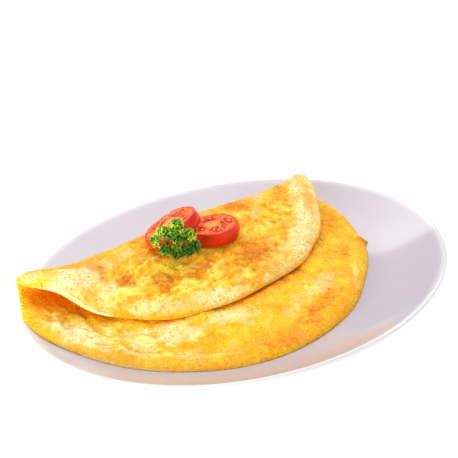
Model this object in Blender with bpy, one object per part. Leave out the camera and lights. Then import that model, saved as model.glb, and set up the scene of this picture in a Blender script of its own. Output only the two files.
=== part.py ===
# A folded omelette on a round coupe plate, with two thick tomato slices and a sprig of curly parsley.
# Units are metres, written as millimetres times MM. +Z is up, the origin is under the middle of the
# plate on the surface that it stands on, and the open edge of the fold faces -Y.

import math

import bpy
import numpy as np
from mathutils import Matrix, Vector, noise

MM = 0.001

# Plate: a coupe plate of porcelain on a foot ring.
PLATE_RADIUS = 135.0 * MM
PLATE_HEIGHT = 22.0 * MM
WELL_RADIUS = 78.0 * MM
WELL_HEIGHT = 6.5 * MM
WELL_CURVE = 1.75
WALL = 3.9 * MM
LIP_RADIUS = 1.9 * MM
FOOT_INNER = 67.0 * MM
FOOT_OUTER = 73.0 * MM
FOOT_DEPTH = 2.4 * MM
PLATE_SEGMENTS = 64

# Omelette: a round sheet of egg, folded over once. It lies on the plate with this clearance.
CLEARANCE = 0.4 * MM
FOLD_ANGLE = math.radians(28.67)
FOLD_MIDDLE = (-37.2 * MM, 47.7 * MM)
TURN_CENTRE = 6.0 * MM
SHEET_RADIUS = 120.4 * MM
# The uneven rim, as waves: how many go round, how high in millimetres, and the angle of the crest.
OUTLINE_WAVES = (
    (1, 25.1, -1.58),
    (2, 9.8, 2.92),
    (3, 1.2, 0.29),
    (4, 2.3, 0.33),
    (5, 1.8, -2.34),
    (6, 0.5, 1.98),
    (7, 0.5, 1.29),
    (13, 0.6, 2.00),
)
EGG_MIDDLE = 11.5 * MM
EGG_EDGE = 6.6 * MM
EGG_SWELL = 55.0 * MM
EDGE_ROUND = 4.6 * MM
GAP_START = 22.0 * MM
GAP_REACH = 66.0 * MM
REST_GAP = 0.8 * MM
# The hollow inside the fold, in millimetres: the place along the fold and how high the hollow is there.
TURN_GAPS = ((-113.0, 6.8), (-68.0, 1.8), (-25.0, 4.6), (20.0, 4.7), (62.0, 2.4), (113.0, 9.2))
# At its left end the flap lifts into a lip: how high, and the middle and the spread of that lift.
MOUTH_LIFT = 7.0 * MM
MOUTH_MIDDLE = (-86.0 * MM, 24.0 * MM)
MOUTH_SPREAD = (26.0 * MM, 17.0 * MM)
# How far the thin rim sinks from the middle of the sheet towards its lower face.
RIM_SETTLE = 0.65
# The left tip of the fold stays over the plate: past the first of these it is drawn in by the second.
TIP_START = 131.0 * MM
TIP_ROOM = 3.8 * MM
SHEET_RINGS = 18
SHEET_SPOKES = 96
SPOKE_CROWDING = 0.4

# Tomato: two thick slices of one small tomato. Each has its middle, its radius, how far its right side
# is raised and how far its back is raised, in degrees. They stand this far clear of the egg.
TOMATO_THICKNESS = 8.2 * MM
TOMATO_SEGMENTS = 36
LEVEL_SLICE = ((-8.1 * MM, 16.5 * MM, 39.8 * MM), 17.5 * MM, 0.0, -2.0)
LEANING_SLICE = ((-33.2 * MM, 16.8 * MM, 45.9 * MM), 19.2 * MM, 20.5, -4.5)
SEAT_GAP = 0.35 * MM

# Parsley: tufts of ruffled leaf on short stalks that spread from one root. Each tuft has its middle and
# its radius in millimetres, measured from the root, and how many ruffles go round it.
LEAF_THICKNESS = 0.9 * MM
LEAF_SEGMENTS = 18
STALK_RADIUS = 0.9 * MM
PARSLEY_ROOT = (-32.9 * MM, -8.0 * MM, 35.6 * MM)
TUFTS = (
    ((3.5, 0.5, 24.2), 4.8, 5),
    ((1.7, -2.5, 17.2), 5.6, 6),
    ((10.1, -0.5, 15.0), 5.0, 5),
    ((12.6, -1.0, 7.6), 4.2, 4),
    ((-5.6, -0.5, 21.0), 4.3, 4),
    ((-10.3, -1.5, 15.2), 4.2, 5),
    ((-5.2, -4.5, 9.6), 4.6, 5),
    ((1.5, -6.0, 7.0), 4.6, 5),
    ((8.0, -4.5, 6.4), 4.6, 5),
)


def smooth_step(x):
    x = np.clip(x, 0.0, 1.0)
    return x * x * (3.0 - 2.0 * x)


def clear_scene():
    for obj in list(bpy.data.objects):
        bpy.data.objects.remove(obj, do_unlink=True)


def material(name, colour, roughness, metallic=0.0):
    made = bpy.data.materials.new(name)
    made.use_nodes = True
    shader = made.node_tree.nodes["Principled BSDF"]
    shader.inputs["Base Color"].default_value = (*colour, 1.0)
    shader.inputs["Roughness"].default_value = roughness
    shader.inputs["Metallic"].default_value = metallic
    return made


def mesh_object(name, points, faces, finish):
    mesh = bpy.data.meshes.new(name)
    mesh.from_pydata([tuple(p) for p in points], [], faces)
    mesh.update()
    mesh.shade_smooth()
    mesh.set_sharp_from_angle(angle=math.radians(50))
    mesh.materials.append(finish)
    obj = bpy.data.objects.new(name, mesh)
    bpy.context.scene.collection.objects.link(obj)
    return obj


# The plate

def plate_top(radius):
    """Height of the plate's upper surface: a flat well that sweeps up to the rim."""
    rise = np.clip((radius - WELL_RADIUS) / (PLATE_RADIUS - LIP_RADIUS - WELL_RADIUS), 0.0, 1.0)
    return WELL_HEIGHT + (PLATE_HEIGHT - WELL_HEIGHT) * rise**WELL_CURVE


def plate_profile():
    """Half section from the middle of the underside, out round the lip and back over the top."""
    lip_centre = PLATE_RADIUS - LIP_RADIUS
    lip_height = PLATE_HEIGHT - LIP_RADIUS
    under = [(0.0, FOOT_DEPTH), (FOOT_INNER - 1.5 * MM, FOOT_DEPTH), (FOOT_INNER, 0.0), (FOOT_OUTER, 0.0)]
    for radius in np.linspace(FOOT_OUTER + 2.5 * MM, lip_centre - 2.0 * MM, 5):
        under.append((radius, float(plate_top(radius)) - WALL))
    lip = []
    for angle in np.radians([-60, -20, 20, 60, 95]):
        lip.append((lip_centre + LIP_RADIUS * math.cos(angle), lip_height + LIP_RADIUS * math.sin(angle)))
    over = []
    for radius in np.linspace(lip_centre - 2.0 * MM, WELL_RADIUS, 7):
        over.append((radius, float(plate_top(radius))))
    over.append((0.0, WELL_HEIGHT))
    return under + lip + over


def lathe(profile, segments):
    """Points and faces of a closed turned body whose profile starts and ends on the axis."""
    points = [(0.0, 0.0, profile[0][1])]
    for radius, height in profile[1:-1]:
        for step in range(segments):
            angle = 2.0 * math.pi * step / segments
            points.append((radius * math.cos(angle), radius * math.sin(angle), height))
    points.append((0.0, 0.0, profile[-1][1]))
    last = len(points) - 1
    rings = len(profile) - 2
    faces = []
    for step in range(segments):
        following = (step + 1) % segments
        faces.append((0, 1 + following, 1 + step))
        for ring in range(rings - 1):
            low = 1 + ring * segments
            high = low + segments
            faces.append((low + step, low + following, high + following, high + step))
        outer = 1 + (rings - 1) * segments
        faces.append((last, outer + step, outer + following))
    return points, faces


def build_plate():
    porcelain = material("porcelain", (0.80, 0.78, 0.81), 0.12)
    points, faces = lathe(plate_profile(), PLATE_SEGMENTS)
    return mesh_object("plate", points, faces, porcelain)


# The omelette

ALONG = np.array([math.cos(FOLD_ANGLE), math.sin(FOLD_ANGLE)])
ACROSS = np.array([math.sin(FOLD_ANGLE), -math.cos(FOLD_ANGLE)])


def outline_reach(angle):
    """Distance from the middle of the fold to the uneven rim of the poured egg, on the flat sheet."""
    reach = SHEET_RADIUS
    for count, height, phase in OUTLINE_WAVES:
        reach = reach + height * MM * np.cos(count * angle - phase)
    return reach


def egg_thickness(inset):
    """Thickness of the sheet at this distance in from its outline, before the edge is rounded."""
    return EGG_EDGE + (EGG_MIDDLE - EGG_EDGE) * smooth_step(inset / EGG_SWELL)


def sheet_inset(along, path):
    """Distance in from the outline, for a place on the flat sheet."""
    return np.maximum(outline_reach(np.arctan2(path, along)) - np.hypot(along, path), 0.0)


def turn_gap(along):
    """Height of the hollow inside the fold, from its left end to its right end."""
    gap = TURN_GAPS[0][1]
    for (start, low), (end, high) in zip(TURN_GAPS[:-1], TURN_GAPS[1:]):
        gap = gap + (high - low) * smooth_step((along / MM - start) / (end - start))
    return gap * MM


def turn_radius(along):
    """Radius of the fold's bend, at the middle of the sheet's thickness."""
    return 0.5 * (egg_thickness(sheet_inset(along, 0.0 * along)) + turn_gap(along))


def plan_of(along, across):
    x = FOLD_MIDDLE[0] + along * ALONG[0] + across * ACROSS[0]
    y = FOLD_MIDDLE[1] + along * ALONG[1] + across * ACROSS[1]
    return x, y


def relief(x, y, scale, seed):
    """Smooth noise from -1 to 1 with bumps of about this size."""
    found = [noise.noise(Vector((u / scale, v / scale, seed))) for u, v in zip(x.ravel(), y.ravel())]
    return np.array(found).reshape(x.shape)


def lower_middle(along, across):
    """Height of the middle of the layer that lies on the plate."""
    x, y = plan_of(along, across)
    radius = turn_radius(along)
    path = -(across - TURN_CENTRE + 0.5 * math.pi * radius)
    thickness = egg_thickness(sheet_inset(along, path))
    return plate_top(np.hypot(x, y)) + CLEARANCE + 0.5 * thickness, thickness


def upper_middle(along, across):
    """Height of the middle of the flap, which rests on the lower layer beyond the fold."""
    below, thickness_below = lower_middle(along, across)
    radius = turn_radius(along)
    path = across - TURN_CENTRE + 0.5 * math.pi * radius
    thickness = egg_thickness(sheet_inset(along, path))
    opening = turn_gap(along) * (1.0 - smooth_step((across - TURN_CENTRE - GAP_START) / GAP_REACH))
    x, y = plan_of(along, across)
    waves = 0.9 * MM * (1.0 + relief(x, y, 26.0 * MM, 3.1))
    far_along = (along - MOUTH_MIDDLE[0]) / MOUTH_SPREAD[0]
    far_across = (across - MOUTH_MIDDLE[1]) / MOUTH_SPREAD[1]
    lip = MOUTH_LIFT * np.exp(-(far_along**2) - far_across**2)
    return below + 0.5 * thickness_below + REST_GAP + opening + 0.5 * thickness + waves + lip


def sheet_middle(along, path):
    """Point on the middle of the folded sheet. path is the way along the sheet from the back of the fold:
    positive over the flap, negative over the lower layer."""
    radius = turn_radius(along)
    quarter = 0.5 * math.pi * radius
    turn = np.clip(path / quarter, -1.0, 1.0) * 0.5 * math.pi
    across = TURN_CENTRE - radius * np.cos(turn) + np.maximum(np.abs(path) - quarter, 0.0)
    share = 0.5 * (1.0 + np.sin(turn))
    low, _ = lower_middle(along, across)
    high = upper_middle(along, across)
    x, y = plan_of(along, across)
    return np.stack([x, y, low + (high - low) * share], axis=-1)


def sheet_places(rings, spokes):
    """Flat places of a net that spreads from the middle of the fold, closest in the fold and at the rim."""
    steps = np.sin(0.5 * math.pi * np.linspace(0.0, 1.0, rings + 1)[1:] ** 1.5)
    even = 2.0 * math.pi * np.arange(spokes) / spokes
    angles = even - 0.5 * SPOKE_CROWDING * np.sin(2.0 * even)
    reach = steps[:, None] * outline_reach(angles)
    return reach * np.cos(angles), reach * np.sin(angles)


def sheet_surfaces(along, path):
    """Inner and outer surface points of the sheet at these flat places."""
    middle = sheet_middle(along, path)
    step = 0.4 * MM
    run = sheet_middle(along + step, path) - sheet_middle(along - step, path)
    rise = sheet_middle(along, path + step) - sheet_middle(along, path - step)
    normal = np.cross(run, rise)
    normal /= np.linalg.norm(normal, axis=-1, keepdims=True)
    inset = sheet_inset(along, path)
    rounding = np.sqrt(np.maximum(1.0 - (1.0 - np.clip(inset / EDGE_ROUND, 0.0, 1.0)) ** 2, 0.0))
    whole = 0.5 * egg_thickness(inset)
    swell = 1.0 + 0.16 * relief(along, path, 19.0 * MM, 8.4)
    half = (whole * rounding * swell)[..., None]
    side = np.clip(path / (0.5 * math.pi * turn_radius(along)), -1.0, 1.0)
    middle = middle + normal * (RIM_SETTLE * side * whole * (1.0 - rounding))[..., None]
    return middle + normal * half, middle - normal * half


def build_omelette():
    egg = material("fried_egg", (0.93, 0.60, 0.07), 0.38)
    along, path = sheet_places(SHEET_RINGS, SHEET_SPOKES)
    one, other = sheet_surfaces(along, path)
    centre_one, centre_other = sheet_surfaces(np.array([0.0]), np.array([0.0]))
    rim = 0.5 * (one[-1] + other[-1])
    points = np.concatenate(
        [centre_one, one[:-1].reshape(-1, 3), centre_other, other[:-1].reshape(-1, 3), rim]
    )
    past = np.maximum(-TIP_START - points[:, 0], 0.0)
    points[:, 0] += past - TIP_ROOM * np.tanh(past / TIP_ROOM)
    radius = np.hypot(points[:, 0], points[:, 1])
    points[:, 2] = np.maximum(points[:, 2], plate_top(radius) + CLEARANCE)
    inner = (SHEET_RINGS - 1) * SHEET_SPOKES
    rim_start = 2 * (1 + inner)
    faces = []
    for start, turned in ((0, False), (1 + inner, True)):
        side = []
        for step in range(SHEET_SPOKES):
            following = (step + 1) % SHEET_SPOKES
            side.append((start, start + 1 + step, start + 1 + following))
            for ring in range(SHEET_RINGS - 1):
                near = start + 1 + ring * SHEET_SPOKES
                far = near + SHEET_SPOKES if ring < SHEET_RINGS - 2 else rim_start
                side.append((near + step, far + step, far + following, near + following))
        faces += [tuple(reversed(face)) if turned else face for face in side]
    return mesh_object("omelette", points, faces, egg)


# What lies on the flap

def flap_top(x, y):
    """Height of the flap's upper face."""
    along = (x - FOLD_MIDDLE[0]) * ALONG[0] + (y - FOLD_MIDDLE[1]) * ALONG[1]
    across = (x - FOLD_MIDDLE[0]) * ACROSS[0] + (y - FOLD_MIDDLE[1]) * ACROSS[1]
    path = across - TURN_CENTRE + 0.5 * math.pi * turn_radius(along)
    half = 0.5 * egg_thickness(sheet_inset(along, path))
    return upper_middle(along, across) + half * (1.0 + 0.16 * relief(along, path, 19.0 * MM, 8.4))


def settled(points):
    """The points, with any that would sink into the egg raised until they clear it."""
    floor = flap_top(points[:, 0], points[:, 1]) + SEAT_GAP
    raised = points.copy()
    raised[:, 2] = np.maximum(points[:, 2], floor)
    return raised


def tomato_profile(reach):
    """Half section of a slice from the middle of its underside, out round the skin and back over its face."""
    half = 0.5 * TOMATO_THICKNESS
    section = [(0.0, -half), (0.5 * reach, -half), (reach - 1.9 * MM, -half)]
    section += [(reach - 0.5 * MM, -half + 0.9 * MM), (reach, -0.4 * MM)]
    section += [(reach - 0.3 * MM, half - 1.2 * MM), (reach - 1.0 * MM, half - 0.2 * MM)]
    section += [(reach - 3.4 * MM, half), (0.6 * reach, half), (0.3 * reach, half)]
    return section + [(0.0, half)]


def build_slice(name, pose, turn, flesh):
    middle, reach, right_raised, back_raised = pose
    made, faces = lathe(tomato_profile(reach), TOMATO_SEGMENTS)
    points = np.array(made)
    angle = np.arctan2(points[:, 1], points[:, 0])
    radius = np.hypot(points[:, 0], points[:, 1])
    # The seed pockets sink a little below the cut face, and the outline is not quite round.
    pocket = np.clip(1.0 - np.abs(radius / reach - 0.55) / 0.28, 0.0, 1.0)
    pocket *= 0.5 + 0.5 * np.cos(5.0 * angle + turn)
    points[:, 2] -= np.where(points[:, 2] > 0.0, 0.7 * MM * pocket, 0.0)
    points[:, :2] *= (1.0 + 0.022 * np.cos(3.0 * angle + turn) + 0.014 * np.cos(5.0 * angle))[:, None]
    tilt = Matrix.Rotation(math.radians(-right_raised), 3, "Y")
    tilt = Matrix.Rotation(math.radians(back_raised), 3, "X") @ tilt
    points = points @ np.array(tilt).T + np.array(middle)
    return mesh_object(name, settled(points), faces, flesh)


def ruffled_leaf(middle, facing, radius, ruffles):
    """Points and faces of a thin cupped leaf whose rim rises and falls. Both faces are split alike."""
    turned = Vector((0.0, 0.0, 1.0)).rotation_difference(Vector(facing)).to_matrix()
    angles = 2.0 * math.pi * np.arange(LEAF_SEGMENTS) / LEAF_SEGMENTS
    shape = [np.zeros((1, 3))]
    for share in (0.45, 1.0):
        wave = np.sin(ruffles * angles + middle[0] / MM)
        reach = share * radius * (1.0 + 0.16 * share * np.cos(ruffles * angles + 1.0))
        height = (0.30 * wave * share**1.5 - 0.42 * share**2) * radius
        shape.append(np.stack([reach * np.cos(angles), reach * np.sin(angles), height], axis=1))
    one = np.concatenate(shape)
    half = np.array([0.0, 0.0, 0.5 * LEAF_THICKNESS])
    points = np.concatenate([one + half, one - half]) @ np.array(turned).T + np.array(middle)
    count = len(one)
    faces = []
    for step in range(LEAF_SEGMENTS):
        following = (step + 1) % LEAF_SEGMENTS
        near, near_on = 1 + step, 1 + following
        far, far_on = near + LEAF_SEGMENTS, near_on + LEAF_SEGMENTS
        upper = [(0, near, near_on), (near, far, far_on), (near, far_on, near_on)]
        faces += upper
        faces += [tuple(count + corner for corner in reversed(face)) for face in upper]
        faces += [(far, far + count, far_on + count), (far, far_on + count, far_on)]
    return points, faces


def stalk(start, end):
    """Points and faces of a thin straight stem with six sides."""
    way = Vector(end) - Vector(start)
    turned = np.array(way.to_track_quat("Z", "Y").to_matrix())
    angles = 2.0 * math.pi * np.arange(6) / 6
    ring = STALK_RADIUS * np.stack([np.cos(angles), np.sin(angles), 0.0 * angles], axis=1) @ turned.T
    points = np.concatenate([ring + np.array(start), ring + np.array(end)])
    faces = [tuple(range(5, -1, -1)), tuple(range(6, 12))]
    for step in range(6):
        following = (step + 1) % 6
        faces.append((step, following, following + 6, step + 6))
    return points, faces


def build_parsley():
    leaf = material("parsley", (0.10, 0.33, 0.02), 0.5)
    root = np.array(PARSLEY_ROOT)
    pieces = bpy.data.collections.new("parsley_pieces")
    bpy.context.scene.collection.children.link(pieces)
    for place, (offset, radius, ruffles) in enumerate(TUFTS):
        middle = root + np.array(offset) * MM
        facing = Vector(offset).normalized() + Vector((0.0, -0.6, 0.3))
        facing.normalize()
        for kind, (points, faces) in (
            ("leaf", ruffled_leaf(middle, facing, radius * MM, ruffles)),
            ("stalk", stalk(root, middle + 1.2 * MM * np.array(facing))),
        ):
            piece = mesh_object(f"{kind}_{place}", points, faces, leaf)
            bpy.context.scene.collection.objects.unlink(piece)
            pieces.objects.link(piece)
    points, faces = stalk(root, root + np.array([0.3 * MM, 0.2 * MM, 4.0 * MM]))
    sprig = mesh_object("parsley", points, faces, leaf)
    join = sprig.modifiers.new("join", "BOOLEAN")
    join.operation = "UNION"
    join.operand_type = "COLLECTION"
    join.collection = pieces
    join.solver = "MANIFOLD"
    bpy.context.view_layer.objects.active = sprig
    bpy.ops.object.modifier_apply(modifier=join.name)
    for piece in list(pieces.objects):
        bpy.data.objects.remove(piece, do_unlink=True)
    bpy.data.collections.remove(pieces)
    return sprig


clear_scene()
build_plate()
build_omelette()
tomato = material("tomato", (0.72, 0.06, 0.03), 0.28)
build_slice("tomato_slice_level", LEVEL_SLICE, 0.6, tomato)
build_slice("tomato_slice_leaning", LEANING_SLICE, 2.0, tomato)
build_parsley()
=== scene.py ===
import math

import bpy
import numpy as np
from mathutils import Matrix, Vector, noise


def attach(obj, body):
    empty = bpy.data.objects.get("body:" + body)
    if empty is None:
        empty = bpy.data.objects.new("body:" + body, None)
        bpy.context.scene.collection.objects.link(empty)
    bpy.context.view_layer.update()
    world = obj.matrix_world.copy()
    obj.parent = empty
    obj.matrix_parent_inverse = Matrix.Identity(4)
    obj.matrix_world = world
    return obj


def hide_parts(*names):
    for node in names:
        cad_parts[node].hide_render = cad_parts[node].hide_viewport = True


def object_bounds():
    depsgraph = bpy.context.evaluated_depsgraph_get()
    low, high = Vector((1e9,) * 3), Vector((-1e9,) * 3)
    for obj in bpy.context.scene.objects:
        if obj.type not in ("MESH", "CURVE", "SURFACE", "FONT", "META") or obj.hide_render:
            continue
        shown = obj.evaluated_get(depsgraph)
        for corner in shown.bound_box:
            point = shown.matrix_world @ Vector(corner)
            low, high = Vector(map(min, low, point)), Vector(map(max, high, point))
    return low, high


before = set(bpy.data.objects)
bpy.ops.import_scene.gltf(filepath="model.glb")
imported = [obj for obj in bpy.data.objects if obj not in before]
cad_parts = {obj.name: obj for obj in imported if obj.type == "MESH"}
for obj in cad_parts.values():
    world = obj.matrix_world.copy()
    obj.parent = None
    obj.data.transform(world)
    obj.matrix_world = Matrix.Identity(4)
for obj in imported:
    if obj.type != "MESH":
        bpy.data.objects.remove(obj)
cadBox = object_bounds()
mm = 0.001
print("frame loaded:", ", ".join(sorted(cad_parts)))


# Helpers that every piece shares

def hexColour(code):
    # sRGB hex to the linear colour that shaders take
    parts = [int(code[i:i + 2], 16) / 255.0 for i in (1, 3, 5)]
    linear = [c / 12.92 if c <= 0.04045 else ((c + 0.055) / 1.055) ** 2.4 for c in parts]
    return (*linear, 1.0)


def addNode(tree, kind, settings=None, output=0):
    # adds a shader node and gives one of its outputs; a setting is a property's name, or a socket's name
    # or number, and its value is a number, a hex colour, or the output that feeds that socket
    node = tree.nodes.new("ShaderNode" + kind)
    for key, value in (settings or {}).items():
        if isinstance(key, str) and key not in node.inputs:
            setattr(node, key, value)
        elif isinstance(value, bpy.types.NodeSocket):
            tree.links.new(value, node.inputs[key])
        else:
            node.inputs[key].default_value = hexColour(value) if isinstance(value, str) else value
    return node.outputs[output]


def newMaterial(name, settings):
    # a material with its node tree and a Principled shader that has these values
    made = bpy.data.materials.new(name)
    made.use_nodes = True
    shader = made.node_tree.nodes["Principled BSDF"]
    for socket, value in settings.items():
        shader.inputs[socket].default_value = value
    return made, made.node_tree, shader


def feedShader(tree, shader, values):
    for socket, value in values.items():
        tree.links.new(value, shader.inputs[socket])


def placeObject(name, data):
    made = bpy.data.objects.new(name, data)
    bpy.context.scene.collection.objects.link(made)
    return made


def meshPiece(name, points, faces, material):
    mesh = bpy.data.meshes.new(name)
    mesh.from_pydata(np.asarray(points).tolist(), [], faces)
    mesh.update()
    mesh.shade_smooth()
    mesh.materials.append(material)
    piece = placeObject(name, mesh)
    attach(piece, "root")
    return piece


def paintPoints(piece, name, values):
    # stores one number for each point, which the material reads by this name
    layer = piece.data.attributes.new(name, "FLOAT", "POINT")
    layer.data.foreach_set("value", np.asarray(values, np.float32))


def smoothStep(x):
    x = np.clip(x, 0.0, 1.0)
    return x * x * (3.0 - 2.0 * x)


def bumps(x, y, size, seed):
    # smooth noise from -1 to 1, with bumps about this size across
    found = [noise.noise(Vector((u / size, v / size, seed))) for u, v in zip(x.ravel(), y.ravel())]
    return np.array(found).reshape(x.shape)


def fullTurn(count):
    # angles of this many even steps round a circle
    return 2.0 * math.pi * np.arange(count) / count


def ringFaces(first, rings, count, flip=False, closed=True):
    # quads between rings, or open rows, of points that follow one another
    faces = []
    for ring in range(rings - 1):
        low = first + ring * count
        for step in range(count if closed else count - 1):
            after = (step + 1) % count
            face = (low + step, low + after, low + count + after, low + count + step)
            faces.append(face[::-1] if flip else face)
    return faces


def fanFaces(tip, first, count, flip=False):
    # triangles from one point to a ring of points
    faces = []
    for step in range(count):
        near, after = first + step, first + (step + 1) % count
        faces.append((tip, after, near) if flip else (tip, near, after))
    return faces


def closedFaces(first, rings, count, flip=False):
    # faces of rings that are closed by a point at each end; those two points follow the rings
    under = first + rings * count
    faces = ringFaces(first, rings, count, flip)
    faces += fanFaces(under, first, count, not flip)
    faces += fanFaces(under + 1, under - count, count, flip)
    return faces


# Camera: the photo's angle, a long lens a little above the table, turned slightly

cameraView = {
    "lensMm": 81.2,
    "sensorMm": 36.0,
    # height above the table and turn, in degrees
    "elevation": 25.23,
    "turned": 8.99,
    "distance": 0.705,
    "nearest": 0.01,
    "aim": (0.0022, 0.0543, 0.021),
}


def placeCamera(view):
    elevation, turned = math.radians(view["elevation"]), math.radians(view["turned"])
    back = Vector((0.0, -math.cos(elevation), math.sin(elevation)))
    level = Vector((1.0, 0.0, 0.0))
    up = back.cross(level)
    across = level * math.cos(turned) - up * math.sin(turned)
    upright = level * math.sin(turned) + up * math.cos(turned)
    data = bpy.data.cameras.new("camera")
    data.sensor_width = view["sensorMm"]
    data.lens = view["lensMm"]
    data.clip_start = view["nearest"]
    camera = placeObject("camera", data)
    place = Matrix((across, upright, back)).transposed().to_4x4()
    place.translation = Vector(view["aim"]) + back * view["distance"]
    camera.matrix_world = place
    bpy.context.scene.camera = camera


placeCamera(cameraView)


# Studio: white table and soft white light, brightest from behind

studio = {
    "floorColour": "#FAFAFA",
    "floorGlow": 0.50,
    "floorReach": 4.0,
    "worldColour": "#FFFFFF",
    "worldStrength": 0.57,
    # lamps: place, size, power in watts, and what they aim at
    "lamps": {
        # a long softbox behind the table, which the glaze mirrors
        "softbox": ((0.22, 0.76, 1.02), (1.5, 0.95), 12.5, (0.0, 0.0, 0.02)),
        # a small lamp on the right, for glints
        "keyLamp": ((0.62, 0.30, 0.80), (0.14, 0.14), 2.0, (0.0, 0.0, 0.02)),
        # a low fill from the left in front, which lights the open end of the fold
        "fillLamp": ((-0.75, -0.65, 0.46), (0.9, 0.7), 4.0, (0.0, 0.0, 0.02)),
        # a weaker one from the right in front, for the rims that face that way
        "sideLamp": ((0.75, -0.60, 0.38), (0.8, 0.6), 2.4, (0.0, 0.0, 0.02)),
        # a small card low on the left that shines into the fold
        "cardLamp": ((-0.42, -0.30, 0.10), (0.30, 0.20), 2.0, (-0.10, -0.02, 0.03)),
    },
}


def areaLamp(name, place, size, power, aim):
    data = bpy.data.lights.new(name, "AREA")
    data.shape = "RECTANGLE"
    data.size, data.size_y = size
    data.energy = power
    lamp = placeObject(name, data)
    lamp.location = place
    lamp.rotation_euler = (Vector(place) - Vector(aim)).to_track_quat("Z", "Y").to_euler()


def matLaminate():
    # Matt white laminate, lit a little from below as a light table is, so that shadows on it stay faint
    colour = hexColour(studio["floorColour"])
    settings = {
        "Base Color": colour,
        "Roughness": 0.9,
        "Specular IOR Level": 0.1,
        "Emission Color": colour,
        "Emission Strength": studio["floorGlow"],
    }
    return newMaterial("matt white laminate", settings)[0]


def buildStudio():
    world = bpy.data.worlds.new("studio")
    world.use_nodes = True
    background = world.node_tree.nodes["Background"]
    background.inputs["Color"].default_value = hexColour(studio["worldColour"])
    background.inputs["Strength"].default_value = studio["worldStrength"]
    bpy.context.scene.world = world
    bpy.context.scene.view_settings.view_transform = "Standard"
    bpy.context.scene.view_settings.look = "None"
    for name, settings in studio["lamps"].items():
        areaLamp(name, *settings)
    reach = studio["floorReach"]
    corners = [(-reach, -reach, 0), (reach, -reach, 0), (reach, reach, 0), (-reach, reach, 0)]
    mesh = bpy.data.meshes.new("floor")
    mesh.from_pydata(corners, [], [(0, 1, 2, 3)])
    mesh.materials.append(matLaminate())
    floor = placeObject("floor", mesh)


buildStudio()
print("camera and studio ready")


# Plate: glazed porcelain, turned on one axis

plate = {
    "radius": 134.88 * mm,
    "height": 22.0 * mm,
    # the flat well, and the power that curves the slope from it up to the lip
    "wellRadius": 78.0 * mm,
    "wellHeight": 6.5 * mm,
    "wellCurve": 1.75,
    "wall": 3.9 * mm,
    "lipRadius": 1.9 * mm,
    "footInner": 67.0 * mm,
    "footOuter": 73.0 * mm,
    "footDepth": 2.4 * mm,
    # the foot ring's rounded section in mm: steps out from its inner and outer radius, and heights
    "footInnerSteps": ((-1.0, 2.05), (-0.3, 0.9), (0.5, 0.1), (1.2, 0.0)),
    "footOuterSteps": ((-1.2, 0.0), (-0.5, 0.15), (0.2, 0.9)),
    # start and end in degrees of the lip's round edge
    "lipArc": (-62.0, 96.0),
    "firstRing": 4.0 * mm,
    # rings over the middle of the underside, its slope, the lip and the top
    "profileSteps": (8, 24, 14, 70),
    # the thin glaze of the lip thickens over this width
    "glazeRun": 4.0 * mm,
    "spokes": 224,
    "glaze": "#B8B1BA",
    "glazeShade": "#AEA6B0",
    # lighter where the glaze is thin; at the lip this is also a painted highlight
    "glazeThinAndHighlight": "#CDCBCC",
}


def plateTop(radius):
    run = plate["radius"] - plate["lipRadius"] - plate["wellRadius"]
    rise = np.clip((radius - plate["wellRadius"]) / run, 0.0, 1.0)
    return plate["wellHeight"] + (plate["height"] - plate["wellHeight"]) * rise ** plate["wellCurve"]


def plateProfile():
    # from the middle of the underside, over the foot ring and the lip, back to the middle of the well
    lip, first = plate["lipRadius"], plate["firstRing"]
    lipMiddle, lipHeight = plate["radius"] - lip, plate["height"] - lip
    inner, outer = plate["footInner"], plate["footOuter"]
    middleSteps, slopeSteps, lipSteps, topSteps = plate["profileSteps"]
    line = [(r, plate["footDepth"]) for r in np.linspace(first, inner - 2.0 * mm, middleSteps)]
    line += [(inner + step * mm, height * mm) for step, height in plate["footInnerSteps"]]
    line += [(outer + step * mm, height * mm) for step, height in plate["footOuterSteps"]]
    for r in np.linspace(outer + 2.5 * mm, lipMiddle - 2.0 * mm, slopeSteps):
        line.append((r, float(plateTop(r)) - plate["wall"]))
    for angle in np.radians(np.linspace(*plate["lipArc"], lipSteps)):
        line.append((lipMiddle + lip * math.cos(angle), lipHeight + lip * math.sin(angle)))
    lipEnd = len(line)
    for r in np.linspace(lipMiddle - 1.0 * mm, first, topSteps):
        line.append((r, float(plateTop(r))))
    # thin below the lip and over it, thick inside
    thin = np.ones(len(line))
    thin[lipEnd:] = 1.0 - smoothStep((lipMiddle - np.array(line)[lipEnd:, 0]) / plate["glazeRun"])
    return np.array(line), thin


def glazedPorcelain():
    # Porcelain under a clear fired glaze: a cool lavender white, sharp reflections and hardly any texture
    glaze, tree, shader = newMaterial("glazed porcelain", {"Roughness": 0.10, "IOR": 1.5})
    place = addNode(tree, "TexCoord", output="Object")
    # the glaze pools in clouds some 45 mm across, a shade cooler where it is thick
    cloud = addNode(tree, "TexNoise", {"Vector": place, "Scale": 1 / 0.045, "Detail": 2.0})
    body = addNode(tree, "Mix", {"data_type": "RGBA", 0: cloud, 6: plate["glaze"], 7: plate["glazeShade"]}, 2)
    # it draws thin over the lip and on the underside, so the white body shows there; the lighter lip is also
    # a painted highlight on the rim
    thin = addNode(tree, "Attribute", {"attribute_name": "thinGlazeAndHighlight"}, "Fac")
    colour = addNode(tree, "Mix", {"data_type": "RGBA", 0: thin, 6: body, 7: plate["glazeThinAndHighlight"]}, 2)
    # a fired glaze has a faint orange peel, about 6 mm from crest to crest
    peel = addNode(tree, "TexNoise", {"Vector": place, "Scale": 1 / 0.006, "Detail": 1.0})
    lift = addNode(tree, "Bump", {"Height": peel, "Strength": 0.04, "Distance": 0.0003})
    feedShader(tree, shader, {"Base Color": colour, "Normal": lift})
    return glaze


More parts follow.
